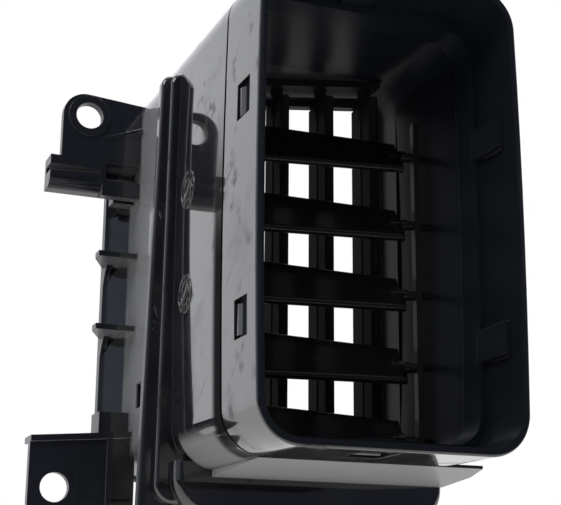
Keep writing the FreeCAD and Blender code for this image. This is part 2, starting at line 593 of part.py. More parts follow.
def blade_profile(x, front, rear, front_thickness, rear_thickness):
    """A blade's section: a thick round front edge that thins to a round rear edge."""
    a, b = front_thickness / 2, rear_thickness / 2
    return Part.Wire([
        Part.Arc(V(x, -front + a, a), V(x, -front, 0), V(x, -front + a, -a)).toShape(),
        Part.makeLine(V(x, -front + a, -a), V(x, rear - b, -b)),
        Part.Arc(V(x, rear - b, -b), V(x, rear, 0), V(x, rear - b, b)).toShape(),
        Part.makeLine(V(x, rear - b, b), V(x, -front + a, a)),
    ])


def axis_span(x):
    """Distance along the skewed axis that matches an X in the vent's frame."""
    return x / math.cos(math.radians(TILT_AXIS_SKEW))


def crank_offset(angle):
    """Where a link peg stands from its pivot, across the axis, at a turn of the vane."""
    turned = math.radians(CRANK_ANGLE + angle)
    return CRANK_LENGTH * math.cos(turned), CRANK_LENGTH * math.sin(turned)


def tilting_vane():
    """One tilting vane about its own axis: blade, bosses, pivot pins, crank and link peg."""
    blade = Part.makeLoft([
        blade_profile(TILT_LEFT_END, TILT_FRONT_CHORD, TILT_REAR_CHORD_LEFT, TILT_FRONT_THICKNESS,
                      TILT_REAR_THICKNESS),
        blade_profile(TILT_RIGHT_END, TILT_FRONT_CHORD, TILT_REAR_CHORD_RIGHT, TILT_FRONT_THICKNESS,
                      TILT_REAR_THICKNESS)], True, True)
    reach = axis_span(PIVOT_HOLE_END_X) - TILT_PIN_END_PLAY
    along = V(1, 0, 0)
    pin = Part.makeCylinder(TILT_PIN_RADIUS, 2 * reach, V(-reach, 0, 0), along)
    starts = (TILT_LEFT_END, TILT_RIGHT_END - TILT_BOSS_LENGTH)
    bosses = [Part.makeCylinder(TILT_BOSS_RADIUS, TILT_BOSS_LENGTH, V(x, 0, 0), along) for x in starts]
    y, z = crank_offset(0)
    start = V(TILT_RIGHT_END - CRANK_THICKNESS, 0, 0)
    side = V(0, -z, y).normalize() * CRANK_RADIUS
    tip = start + V(0, y, z)
    arm = [polygon([start + side, tip + side, tip - side, start - side], along * CRANK_THICKNESS),
           Part.makeCylinder(CRANK_RADIUS, CRANK_THICKNESS, start, along),
           Part.makeCylinder(CRANK_RADIUS, CRANK_THICKNESS, tip, along)]
    peg_end = axis_span(LINK_INNER_X) + LINK_THICKNESS + PEG_OVERHANG
    peg = Part.makeCylinder(PEG_RADIUS, peg_end - tip.x, tip, along)
    stop_end = axis_span(LINK_INNER_X) - PEG_CLEARANCE
    stop = Part.makeCylinder(PEG_RADIUS + PEG_SHOULDER, stop_end - tip.x, tip, along)
    return blade.fuse([pin, peg, stop] + bosses + arm).removeSplitter()


def tilting_link():
    """The upright bar that joins the five pegs."""
    dy, dz = crank_offset(TILT_REST)
    top = dz + LINK_TOP_EXTRA
    bottom = dz - (TILT_VANE_COUNT - 1) * TILT_PITCH - LINK_BOTTOM_EXTRA
    x0 = axis_span(LINK_INNER_X)
    bar = box(x0, x0 + LINK_THICKNESS, dy - LINK_WIDTH / 2, dy + LINK_WIDTH / 2, bottom, top)
    bar = rounded(bar, LINK_WIDTH / 2 - 0.1, lambda e: runs_along(e, "x"))
    for index in range(TILT_VANE_COUNT):
        bar = bar.cut(Part.makeCylinder(PEG_RADIUS + PEG_CLEARANCE, LINK_THICKNESS + 2,
                                        V(x0 - 1, dy, dz - index * TILT_PITCH), V(1, 0, 0)))
    return place_tilted(bar, 0, 0)


def pivot_hole(index):
    """The two blind holes for one tilting vane's pins, as one rod to cut from the side walls."""
    reach = axis_span(PIVOT_HOLE_END_X)
    rod = Part.makeCylinder(TILT_PIN_RADIUS + TILT_PIN_CLEARANCE, 2 * reach, V(-reach, 0, 0), V(1, 0, 0))
    return place_tilted(rod, index, 0)


def upright_pivot(index):
    """Where an upright vane's axis stands, at Z = 0. Index 0 is the leftmost."""
    middle = (UPRIGHT_COUNT - 1) / 2
    x = (index - middle) * UPRIGHT_PITCH
    right = middle * UPRIGHT_PITCH
    return V(x, UPRIGHT_RIGHT_Y + (right - x) * UPRIGHT_SLOPE, 0)


def upright_half():
    """Half the height of an upright vane's blade."""
    return CARRIER_FACE_Z - UPRIGHT_END_GAP


def upright_vane(index):
    """One upright vane: blade, bosses, pivot pins and the peg for its link."""
    half = upright_half()
    blade = Part.Face(blade_profile(0, UPRIGHT_CHORD / 2, UPRIGHT_CHORD / 2, UPRIGHT_FRONT_THICKNESS,
                                    UPRIGHT_REAR_THICKNESS)).extrude(V(2 * half, 0, 0))
    blade.rotate(V(0, 0, 0), V(0, 1, 0), -90)
    blade.translate(V(0, 0, -half))
    reach = CARRIER_FACE_Z + UPRIGHT_PIN_IN_CARRIER
    face = CARRIER_FACE_Z - SEAT_CLEARANCE
    link_top = half + UPRIGHT_LINK_RISE + UPRIGHT_LINK_THICKNESS
    turned = [upright_round(UPRIGHT_PIN_RADIUS, -reach, reach),
              upright_round(UPRIGHT_BOSS_RADIUS, -face, -half + UPRIGHT_BOSS_OVERLAP),
              upright_round(UPRIGHT_BOSS_RADIUS, half - UPRIGHT_BOSS_OVERLAP, half),
              upright_round(UPRIGHT_BOSS_RADIUS, link_top + UPRIGHT_LINK_PLAY, face)]
    peg = upright_round(PEG_RADIUS, half - UPRIGHT_PEG_ROOT, link_top + PEG_OVERHANG)
    peg.translate(V(0, UPRIGHT_CRANK, 0))
    vane = blade.fuse(turned + [peg]).removeSplitter()
    vane.translate(upright_pivot(index))
    return vane


def upright_round(radius, z0, z1):
    """A cylinder about the Z axis between two heights."""
    return Part.makeCylinder(radius, z1 - z0, V(0, 0, z0))


def upright_link():
    """The bar that joins the pegs on the upright vanes, just above the blades."""
    z0 = upright_half() + UPRIGHT_LINK_RISE
    first, last = upright_pivot(0), upright_pivot(UPRIGHT_COUNT - 1)
    ends = [first + V(0, UPRIGHT_CRANK, z0), last + V(0, UPRIGHT_CRANK, z0)]
    along = (ends[1] - ends[0]).normalize()
    across = V(-along.y, along.x, 0) * (UPRIGHT_LINK_WIDTH / 2)
    body = polygon([ends[0] + across, ends[0] - across, ends[1] - across, ends[1] + across],
                   V(0, 0, UPRIGHT_LINK_THICKNESS))
    bar = body.fuse([Part.makeCylinder(UPRIGHT_LINK_WIDTH / 2, UPRIGHT_LINK_THICKNESS, end) for end in ends])
    for index in range(UPRIGHT_COUNT):
        centre = upright_pivot(index) + V(0, UPRIGHT_CRANK, z0 - 1)
        bar = bar.cut(Part.makeCylinder(PEG_RADIUS + PEG_CLEARANCE, UPRIGHT_LINK_THICKNESS + 2, centre))
    return bar.removeSplitter()


def vane_carrier(side):
    """The skewed plate above or below that carries the upright vanes."""
    z_in = side * CARRIER_FACE_Z
    z_out = side * (HOUSING_INNER_HALF[1] - SEAT_CLEARANCE)
    low, high = min(z_in, z_out), max(z_in, z_out)
    edge = HOUSING_INNER_HALF[0] - CARRIER_END_INSET
    half = CARRIER_WIDTH / 2 / math.cos(math.radians(UPRIGHT_SKEW))
    def at(x, offset):
        return V(x, UPRIGHT_RIGHT_Y + (upright_pivot(UPRIGHT_COUNT - 1).x - x) * UPRIGHT_SLOPE + offset, low)
    plate = polygon([at(-edge, -half), at(edge, -half), at(edge, half), at(-edge, half)], V(0, 0, high - low))
    seat = (HOUSING_INNER_HALF[0] - SEAT_CLEARANCE, HOUSING_INNER_HALF[1] - SEAT_CLEARANCE)
    plate = plate.common(prism(seat, 0, INLET_LEFT_Y, 0))
    for index in range(UPRIGHT_COUNT):
        centre = upright_pivot(index) + V(0, 0, low - 1)
        radius = UPRIGHT_PIN_RADIUS + UPRIGHT_PIN_CLEARANCE
        plate = plate.cut(Part.makeCylinder(radius, high - low + 2, centre))
    return plate


def inlet_seal():
    """The foam ring on the inlet's rear face."""
    far = INLET_LEFT_Y + SLEEVE_WIDTH
    outer_half = (HALF_WIDTH + SEAL_OUTER_LAP, HALF_HEIGHT + SEAL_OUTER_LAP)
    inner_half = (HALF_WIDTH - SEAL_INNER_LAP, HALF_HEIGHT - SEAL_INNER_LAP)
    ring = prism(outer_half, JOINT_PLANE_Y, far, 0).cut(prism(inner_half, JOINT_PLANE_Y - 1, far + 1, 0))
    thick = SEAL_THICKNESS / math.cos(math.radians(INLET_SKEW))
    slab = inlet_slab(-2 * SLEEVE_WIDTH, 2 * SLEEVE_WIDTH, -SLEEVE_HEIGHT, SLEEVE_HEIGHT, 0, thick)
    return ring.common(slab)


def pieces():
    """Every node's name and solid."""
    made = {
        "outlet_sleeve": outlet_sleeve(),
        "duct_body": duct_body(),
        "rear_housing": rear_housing(),
        "tilting_vane_link": tilting_link(),
        "vane_carrier_top": vane_carrier(1),
        "vane_carrier_bottom": vane_carrier(-1),
        "upright_vane_link": upright_link(),
        "inlet_seal": inlet_seal(),
    }
    vane = tilting_vane()
    for index in range(TILT_VANE_COUNT):
        made[f"tilting_vane_{index + 1}"] = place_tilted(vane, index, TILT_REST)
    for index in range(UPRIGHT_COUNT):
        made[f"upright_vane_{index + 1}"] = upright_vane(index)
    return made


def main():
    os.makedirs("parts", exist_ok=True)
    for name, shape in pieces().items():
        solids = shape.Solids
        print(name, "solids", len(solids), "valid", shape.isValid(), "volume", round(shape.Volume, 1))
        shape.exportStep(f"parts/{name}.step")


main()
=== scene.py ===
"""Finishes, studio and camera for a dashboard air vent moulded in gloss black plastic."""

import logging
import math
from dataclasses import dataclass, field, replace
from enum import Enum

import bpy
from mathutils import Matrix, Vector


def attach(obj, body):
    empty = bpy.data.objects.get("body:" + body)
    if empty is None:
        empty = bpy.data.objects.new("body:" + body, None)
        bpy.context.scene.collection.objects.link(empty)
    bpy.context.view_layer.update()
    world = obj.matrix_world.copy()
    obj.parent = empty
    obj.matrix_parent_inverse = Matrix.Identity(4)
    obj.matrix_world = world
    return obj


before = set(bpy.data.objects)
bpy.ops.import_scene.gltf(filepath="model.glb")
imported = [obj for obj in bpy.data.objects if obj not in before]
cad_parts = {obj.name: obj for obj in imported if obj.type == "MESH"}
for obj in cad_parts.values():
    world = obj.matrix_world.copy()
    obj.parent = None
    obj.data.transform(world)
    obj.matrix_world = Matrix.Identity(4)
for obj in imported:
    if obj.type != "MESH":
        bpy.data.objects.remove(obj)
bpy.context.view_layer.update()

MM = 0.001
HOUSING = "housing"
FINE_GRAIN = 0.01 * MM

log = logging.getLogger("air_vent")


class Wear(Enum):
    """How much a surface has been handled since it was moulded."""

    CLEAN = 0.0
    DUSTY = 0.6
    HANDLED = 1.0


class NodeGraph:
    """A short way to add and join the nodes of one material, world or geometry tree."""

    def __init__(self, tree: bpy.types.NodeTree) -> None:
        """Keep the tree.

        Args:
            tree: The node tree that the nodes go into.
        """
        self.tree = tree

    def add(self, kind: str, inputs: dict | None = None, **settings: object) -> bpy.types.Node:
        """Add one node.

        Args:
            kind: The node's type name.
            inputs: Values by socket name or index, or sockets to link from.
            **settings: Properties of the node itself.

        Returns:
            The new node.
        """
        node = self.tree.nodes.new(kind)
        for name, value in settings.items():
            setattr(node, name, value)
        for key, value in (inputs or {}).items():
            socket = node.inputs[key]
            if isinstance(value, bpy.types.NodeSocket):
                self.tree.links.new(value, socket)
            else:
                socket.default_value = value
        return node

    def math(self, operation: str, first: object, second: object = 0.0) -> bpy.types.NodeSocket:
        """Add a Math node and return its result.

        Args:
            operation: The node's operation.
            first: A number or a socket.
            second: A number or a socket.

        Returns:
            The result's socket.
        """
        node = self.add("ShaderNodeMath", {0: first, 1: second}, operation=operation)
        return node.outputs[0]

    def vector(self, operation: str, first: object,
               second: tuple[float, float, float] = (0.0, 0.0, 0.0)) -> bpy.types.NodeSocket:
        """Add a Vector Math node.

        Args:
            operation: The node's operation.
            first: A vector or a socket.
            second: A vector, where the operation has two.

        Returns:
            The resulting vector's socket.
        """
        node = self.add("ShaderNodeVectorMath", {0: first, 1: second}, operation=operation)
        return node.outputs[0]

    def ramp(self, value: bpy.types.NodeSocket, low: float, high: float) -> bpy.types.NodeSocket:
        """Map a value to 0 at low and 1 at high, with a smooth step between.

        Args:
            value: The socket to map.
            low: Where the result is 0.
            high: Where the result is 1.

        Returns:
            The mapped socket.
        """
        node = self.add("ShaderNodeMapRange", {"Value": value, "From Min": low, "From Max": high},
                        interpolation_type="SMOOTHSTEP")
        return node.outputs["Result"]

    def noise(self, place: bpy.types.NodeSocket, scale: float, detail: float = 3.0,
              rough: float = 0.5) -> bpy.types.NodeSocket:
        """Add a noise texture.

        Args:
            place: The coordinates, in metres.
            scale: Repeats in a metre.
            detail: Octaves.
            rough: How strong the finer octaves are.

        Returns:
            The noise value's socket.
        """
        node = self.add("ShaderNodeTexNoise",
                        {"Vector": place, "Scale": scale, "Detail": detail, "Roughness": rough})
        return node.outputs[0]

    def blend(self, share: object, first: object, second: object) -> bpy.types.NodeSocket:
        """Mix two numbers.

        Args:
            share: How much of the second number, as a number or a socket.
            first: A number or a socket.
            second: A number or a socket.

        Returns:
            The mixed number's socket.
        """
        node = self.add("ShaderNodeMix", {0: share, 2: first, 3: second}, data_type="FLOAT")
        return node.outputs[0]

    def mix(self, share: object, first: object, second: object) -> bpy.types.NodeSocket:
        """Mix two colours.

        Args:
            share: How much of the second colour, as a number or a socket.
            first: A colour or a socket.
            second: A colour or a socket.

        Returns:
            The mixed colour's socket.
        """
        node = self.add("ShaderNodeMix", {"Factor": share, 6: first, 7: second}, data_type="RGBA")
        return node.outputs[2]


def new_material(name: str) -> tuple[bpy.types.Material, NodeGraph]:
    """Start an empty node material.

    Args:
        name: The material's name.

    Returns:
        The material and its graph.
    """
    made = bpy.data.materials.new(name)
    made.use_nodes = True
    made.node_tree.nodes.clear()
    return made, NodeGraph(made.node_tree)


@dataclass(frozen=True)
class Pattern:
    """A noise cut to a mask that is 0 below its low level and 1 above its high one."""

    scale: float
    detail: float
    rough: float
    low: float
    high: float

    def mask(self, graph: NodeGraph, place: bpy.types.NodeSocket) -> bpy.types.NodeSocket:
        """Add the noise and its cut.

        Args:
            graph: The material's graph.
            place: The coordinates, in metres.

        Returns:
            The mask's socket.
        """
        return graph.ramp(graph.noise(place, self.scale, self.detail, self.rough), self.low, self.high)


@dataclass(frozen=True)
class Edge:
    """One border of a zone: its share goes from 0 to 1 between two places on an axis."""

    axis: str
    zero: float
    one: float
    both_sides: bool = False


@dataclass(frozen=True)
class DullOrPaintedLightZone:
    """A part of a moulding that was not polished, or that carries painted shade or a painted reflection in
    its colour. Lengths are metres.
    """

    edges: tuple[Edge, ...]
    coat: float
    roughness: float
    colour: tuple[float, float, float]

    def share(self, graph: NodeGraph, place: bpy.types.NodeSocket) -> bpy.types.NodeSocket:
        """Return 1 inside the zone and 0 outside it.

        Args:
            graph: The material's graph.
            place: The coordinates, in metres.

        Returns:
            The share's socket.
        """
        parts = graph.add("ShaderNodeSeparateXYZ", {0: place})
        share = None
        for edge in self.edges:
            value = parts.outputs[edge.axis]
            if edge.both_sides:
                value = graph.math("ABSOLUTE", value)
            step = graph.ramp(value, edge.zero, edge.one)
            share = graph.math("MULTIPLY", share, step) if share else step
        return share


@dataclass(frozen=True)
class Bore(DullOrPaintedLightZone):
    """The inside of the duct: all that lies deep enough within its rounded outline."""

    straight_x: float = 23.0 * MM
    straight_z: float = 46.0 * MM
    corner: float = 9.0 * MM
    depth: tuple[float, float] = (0.5 * MM, 0.8 * MM)

    def share(self, graph: NodeGraph, place: bpy.types.NodeSocket) -> bpy.types.NodeSocket:
        """Return 1 inside the duct and 0 outside it.

        Args:
            graph: The material's graph.
            place: The coordinates, in metres.

        Returns:
            The share's socket.
        """
        side = graph.vector("ABSOLUTE", place)
        beyond = graph.vector("SUBTRACT", side, (self.straight_x, 0.0, self.straight_z))
        flat = graph.vector("MULTIPLY", beyond, (1.0, 0.0, 1.0))
        corner = graph.vector("MAXIMUM", flat)
        far = graph.add("ShaderNodeVectorMath", {0: corner}, operation="LENGTH").outputs["Value"]
        return graph.ramp(far, self.corner - self.depth[0], self.corner - self.depth[1])


INSIDE = Bore((), coat=0.0, roughness=0.3, colour=(0.009, 0.0105, 0.014))
# Painted shade: a near-black, unglossed band on the duct's left wall just behind the sleeve's end, darker
# towards the bottom, standing in for the shade of the step between sleeve and duct.
JOINT_PAINTED_SHADE = DullOrPaintedLightZone(
    (Edge("Y", 20.7 * MM, 21.4 * MM), Edge("Y", 28.0 * MM, 24.6 * MM), Edge("Z", 30.0 * MM, -12.0 * MM),
     Edge("X", -28.0 * MM, -31.0 * MM), Edge("Z", -54.0 * MM, -51.0 * MM)),
    coat=0.0, roughness=0.85, colour=(0.004, 0.004, 0.005))
# Painted reflection: light grey laid on the duct's lower left corner, standing in for the bright surroundings
# that the glossy corner would mirror.
CORNER_PAINTED_REFLECTION = DullOrPaintedLightZone(
    (Edge("Z", -46.5 * MM, -50.5 * MM), Edge("X", -20.0 * MM, -25.0 * MM),
     Edge("Y", 26.0 * MM, 30.0 * MM), Edge("Y", 51.8 * MM, 51.4 * MM)),
    coat=0.3, roughness=0.4, colour=(0.24, 0.24, 0.235))
# Painted reflection: light grey laid on the underside of the duct, standing in for the pale floor that the
# glossy underside would mirror.
SKIRT_PAINTED_REFLECTION = DullOrPaintedLightZone(
    (Edge("Z", -55.05 * MM, -55.2 * MM), Edge("Y", 51.9 * MM, 51.5 * MM)),
    coat=0.12, roughness=0.4, colour=(0.29, 0.29, 0.285))
OUTER_EDGES = DullOrPaintedLightZone(
    (Edge("X", -36.8 * MM, -37.6 * MM),), coat=0.25, roughness=0.35, colour=(0.011, 0.012, 0.016))
# Painted reflection: a pale grey laid on the housing's left wall, standing in for the light that its glossy
# side would mirror at a grazing angle.
HOUSING_WALL_PAINTED_REFLECTION = DullOrPaintedLightZone(
    (Edge("X", -31.4 * MM, -31.8 * MM), Edge("X", -32.6 * MM, -32.3 * MM),
     Edge("Y", 63.0 * MM, 65.0 * MM), Edge("Z", 50.0 * MM, 44.0 * MM, both_sides=True)),
    coat=0.6, roughness=0.3, colour=(0.16, 0.16, 0.157))


@dataclass(frozen=True)
class MouldedPlastic:
    """A moulded plastic finish.

    Colours are linear. Lengths are metres.
    """

    name: str
    colour: tuple[float, float, float]
    roughness: float
    coat: float = 0.0
    wear: Wear = Wear.CLEAN
    ior: float = 1.14
    coat_ior: float = 1.95
    coat_roughness: float = 0.035
    haze: float = 0.0
    haze_roughness: float = 0.35
    zones: tuple[DullOrPaintedLightZone, ...] = ()
    smudged_coat: float = 0.15
    smudged_roughness: float = 0.22
    fingers: Pattern = Pattern(38.0, 4.0, 0.62, 0.52, 0.74)
    finger_lines: Pattern = Pattern(163.4, 3.0, 0.6, 0.52, 0.72)
    finger_base: float = 0.35
    blots: Pattern = Pattern(98.8, 3.0, 0.6, 0.57, 0.74)
    streaks: Pattern = Pattern(1.0, 3.0, 0.6, 0.60, 0.76)
    streak_areas: Pattern = Pattern(30.4, 2.0, 0.5, 0.42, 0.6)
    streak_share: float = 0.8
    streak_angle: float = math.radians(38.0)
    streak_stretch: tuple[float, float, float] = (60.0, 34.0, 430.0)
    dust: tuple[float, float, float] = (0.34, 0.33, 0.31)
    dust_share: float = 0.03
    dust_base: float = 0.4
    specks: Pattern = Pattern(900.0, 2.0, 0.5, 0.70, 0.78)
    speck_share: float = 1.6
    patches: Pattern = Pattern(64.6, 3.0, 0.5, 0.45, 0.75)
    patch_share: float = 0.35
    edge_round: float = 0.22 * MM
    edge_samples: int = 6
    ripple_scale: float = 30.0
    ripple_height: float = 0.02 * MM
    grain_scale: float = 2600.0
    grain_height: float = 0.0

    def material(self) -> bpy.types.Material:
        """Build the finish as a node material and return it."""
        made, graph = new_material(self.name)
        place = graph.add("ShaderNodeTexCoord").outputs["Object"]
        smudge = self._smudges(graph, place)
        bump = self._relief(graph, place)
        colour = self._tint(graph, place, smudge)
        rough = self._roughness(graph, smudge)
        coat = graph.blend(smudge, self.coat, self.coat * self.smudged_coat)
        # Zones lay their own colour, coat and roughness over the plastic: a dull inside and edges, and
        # painted shade or painted reflections in some places.
        for zone in self.zones:
            share = zone.share(graph, place)
            colour = graph.mix(share, colour, (*zone.colour, 1.0))
            rough = graph.blend(share, rough, zone.roughness)
            coat = graph.blend(share, coat, zone.coat)
        shader = graph.add("ShaderNodeBsdfPrincipled", {
            "Base Color": colour,
            "Roughness": rough,
            "Normal": bump,
            "IOR": self.ior,
            "Coat Weight": coat,
            "Coat Roughness": self.coat_roughness,
            "Coat IOR": self.coat_ior,
            "Sheen Weight": self.haze,
            "Sheen Roughness": self.haze_roughness,
        })
        if self.coat:
            graph.tree.links.new(bump, shader.inputs["Coat Normal"])
        graph.add("ShaderNodeOutputMaterial", {"Surface": shader.outputs[0]})
        return made

    def _smudges(self, graph: NodeGraph, place: bpy.types.NodeSocket) -> bpy.types.NodeSocket:
        """Add finger marks, blots and fine rubbed streaks.

        Args:
            graph: The material's graph.
            place: The coordinates, in metres.

        Returns:
            The socket of a mask of all the marks.
        """
        lines = graph.math("ADD", self.finger_lines.mask(graph, place), self.finger_base)
        fingers = graph.math("MULTIPLY", self.fingers.mask(graph, place), lines)
        turned = graph.add("ShaderNodeVectorRotate", {"Vector": place, "Angle": self.streak_angle},
                           rotation_type="X_AXIS").outputs[0]
        drawn = graph.vector("MULTIPLY", turned, self.streak_stretch)
        streaks = graph.math("MULTIPLY", self.streak_areas.mask(graph, place),
                             self.streaks.mask(graph, drawn))
        marks = graph.math("MAXIMUM", fingers, self.blots.mask(graph, place))
        marks = graph.math("MAXIMUM", marks, graph.math("MULTIPLY", streaks, self.streak_share))
        return graph.math("MULTIPLY", marks, self.wear.value)

    def _tint(self, graph: NodeGraph, place: bpy.types.NodeSocket,
              smudge: bpy.types.NodeSocket) -> bpy.types.NodeSocket:
        """Lay a thin film of dust and a few specks on the plastic's own colour.

        Args:
            graph: The material's graph.
            place: The coordinates, in metres.
            smudge: The mask of marks, which hold more dust.

        Returns:
            The colour's socket.
        """
        specks = graph.math("MULTIPLY", self.specks.mask(graph, place), self.speck_share)
        patches = graph.math("MULTIPLY", self.patches.mask(graph, place), self.patch_share)
        film = graph.math("ADD", graph.math("ADD", patches, specks), smudge)
        share = graph.math("MULTIPLY", film, self.dust_share * (self.dust_base + self.wear.value))
        return graph.mix(share, (*self.colour, 1.0), (*self.dust, 1.0))

    def _roughness(self, graph: NodeGraph, smudge: bpy.types.NodeSocket) -> bpy.types.NodeSocket:
        """Make the surface duller where it is smudged.

        Args:
            graph: The material's graph.
            smudge: The mask of marks.

        Returns:
            The roughness's socket.
        """
        return graph.math("ADD", graph.math("MULTIPLY", smudge, self.smudged_roughness), self.roughness)

    def _relief(self, graph: NodeGraph, place: bpy.types.NodeSocket) -> bpy.types.NodeSocket:
        """Add softened edges, the mould's slow ripple and, where it has one, a fine grain.

        Args:
            graph: The material's graph.
            place: The coordinates, in metres.

        Returns:
            The normal's socket.
        """
        edge = graph.add("ShaderNodeBevel", {"Radius": self.edge_round}, samples=self.edge_samples).outputs[0]
        ripple = graph.add("ShaderNodeBump", {
            "Height": graph.noise(place, self.ripple_scale, 1.0),
            "Distance": self.ripple_height, "Strength": 1.0, "Normal": edge}).outputs[0]
        if not self.grain_height:
            return ripple
        return graph.add("ShaderNodeBump", {
            "Height": graph.noise(place, self.grain_scale, 2.0),
            "Distance": self.grain_height, "Strength": 1.0, "Normal": ripple}).outputs[0]


@dataclass(frozen=True)
class CellFoam:
    """The soft black foam of the inlet seal. Lengths are metres."""

    name: str = "seal_foam_black"
    colour: tuple[float, float, float] = (0.022, 0.022, 0.023)
    wall_colour: tuple[float, float, float] = (0.05, 0.05, 0.05)
    roughness: float = 0.85
    cell_scale: float = 1500.0
    cell_depth: float = 0.2 * MM
    cell_levels: tuple[float, float] = (0.1, 0.6)

    def material(self) -> bpy.types.Material:
        """Build the foam as a node material and return it."""
        made, graph = new_material(self.name)
        place = graph.add("ShaderNodeTexCoord").outputs["Object"]
        cells = graph.add("ShaderNodeTexVoronoi", {"Vector": place, "Scale": self.cell_scale}).outputs[0]
        bump = graph.add("ShaderNodeBump", {"Height": cells, "Distance": self.cell_depth}).outputs[0]
        tint = graph.mix(graph.ramp(cells, *self.cell_levels), (*self.colour, 1.0), (*self.wall_colour, 1.0))
        shader = graph.add("ShaderNodeBsdfPrincipled",
                           {"Base Color": tint, "Roughness": self.roughness, "Normal": bump})
        graph.add("ShaderNodeOutputMaterial", {"Surface": shader.outputs[0]})
        return made


class Repeat:
    """A Geometry Nodes tree that puts one small shape on every point of a mesh."""

    def __init__(self, name: str, sizes: dict[str, float]) -> None:
        """Start the tree.

        Args:
            name: The tree's and the piece's name.
            sizes: The tree's named inputs, in metres.
        """
        self.name = name
        self.sizes = sizes
        self.tree = bpy.data.node_groups.new(name, "GeometryNodeTree")
        self.tree.interface.new_socket("Points", in_out="INPUT", socket_type="NodeSocketGeometry")
        for size in sizes:
            self.tree.interface.new_socket(size, in_out="INPUT", socket_type="NodeSocketFloat")
        self.tree.interface.new_socket("Shape", in_out="OUTPUT", socket_type="NodeSocketGeometry")
        self.graph = NodeGraph(self.tree)
        self.inputs = self.graph.add("NodeGroupInput").outputs

    def join(self, *shapes: bpy.types.NodeSocket) -> bpy.types.NodeSocket:
        """Join shapes into one.

        Args:
            *shapes: The shapes' sockets.

        Returns:
            The whole shape's socket.
        """
        node = self.graph.add("GeometryNodeJoinGeometry")
        for shape in shapes:
            self.tree.links.new(shape, node.inputs[0])
        return node.outputs[0]

    def tube(self, line: bpy.types.NodeSocket, radius: object, sides: int = 8) -> bpy.types.NodeSocket:
        """Make a closed round bar along a line.

        Args:
            line: The curve.
            radius: The bar's radius, as a number or a socket.
            sides: How many sides the bar has.

        Returns:
            The mesh's socket.
        """
        ring = self.graph.add("GeometryNodeCurvePrimitiveCircle", {"Resolution": sides, "Radius": radius})
        node = self.graph.add("GeometryNodeCurveToMesh", {
            "Curve": line, "Profile Curve": ring.outputs[0], "Fill Caps": True})
        return node.outputs[0]

    def finish(self, shape: bpy.types.NodeSocket, finish: bpy.types.Material,
               points: list[tuple[Vector, Matrix]]) -> bpy.types.Object:
        """Put the shape on the points and turn the result into a plain piece.

        Args:
            shape: The small shape's socket.
            finish: The material.
            points: Where each copy stands, and how it is turned.

        Returns:
            The finished piece, in the scene.
        """
        turn = self.graph.add("GeometryNodeInputNamedAttribute", {"Name": "turn"}, data_type="FLOAT_VECTOR")
        copies = self.graph.add("GeometryNodeInstanceOnPoints", {
            "Points": self.inputs["Points"], "Instance": shape, "Rotation": turn.outputs[0]})
        real = self.graph.add("GeometryNodeRealizeInstances", {0: copies.outputs[0]})
        dressed = self.graph.add("GeometryNodeSetMaterial", {"Geometry": real.outputs[0], "Material": finish})
        self.graph.add("NodeGroupOutput", {0: dressed.outputs[0]})
        mesh = bpy.data.meshes.new(self.name + "_points")
        mesh.from_pydata([place for place, _ in points], [], [])
        turns = mesh.attributes.new("turn", "FLOAT_VECTOR", "POINT")
        for entry, (_, rotation) in zip(turns.data, points):
            entry.vector = rotation.to_euler()
        base = bpy.data.objects.new(self.name + "_base", mesh)
        bpy.context.scene.collection.objects.link(base)
        modifier = base.modifiers.new("repeat", "NODES")
        modifier.node_group = self.tree
        for socket in self.tree.interface.items_tree:
            if socket.name in self.sizes:
                modifier[socket.identifier] = self.sizes[socket.name]
        whole = base.evaluated_get(bpy.context.evaluated_depsgraph_get())
        piece = bpy.data.objects.new(self.name, bpy.data.meshes.new_from_object(whole))
        base.modifiers.remove(modifier)
        bpy.data.objects.remove(base)
        bpy.context.scene.collection.objects.link(piece)
        log.info("%s made, %d faces", self.name, len(piece.data.polygons))
        return piece


def facing(outward: tuple[int, int, int], along: tuple[int, int, int]) -> Matrix:
    """Find the turn that lays a flat shape on a wall.

    Args:
        outward: Where the shape's Z axis points.
        along: Where its X axis points.

    Returns:
        The turn.
    """
    z, x = Vector(outward), Vector(along)
    return Matrix((x, z.cross(x), z)).transposed()


def dress(node: str, finish: bpy.types.Material) -> None:
    """Give one of the vent's own solids its finish.

    Args:
        node: The solid's name.
        finish: The material for all its faces.
    """
    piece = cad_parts[node]
    piece.data.materials.clear()
    piece.data.materials.append(finish)
    log.info("%s dressed", node)


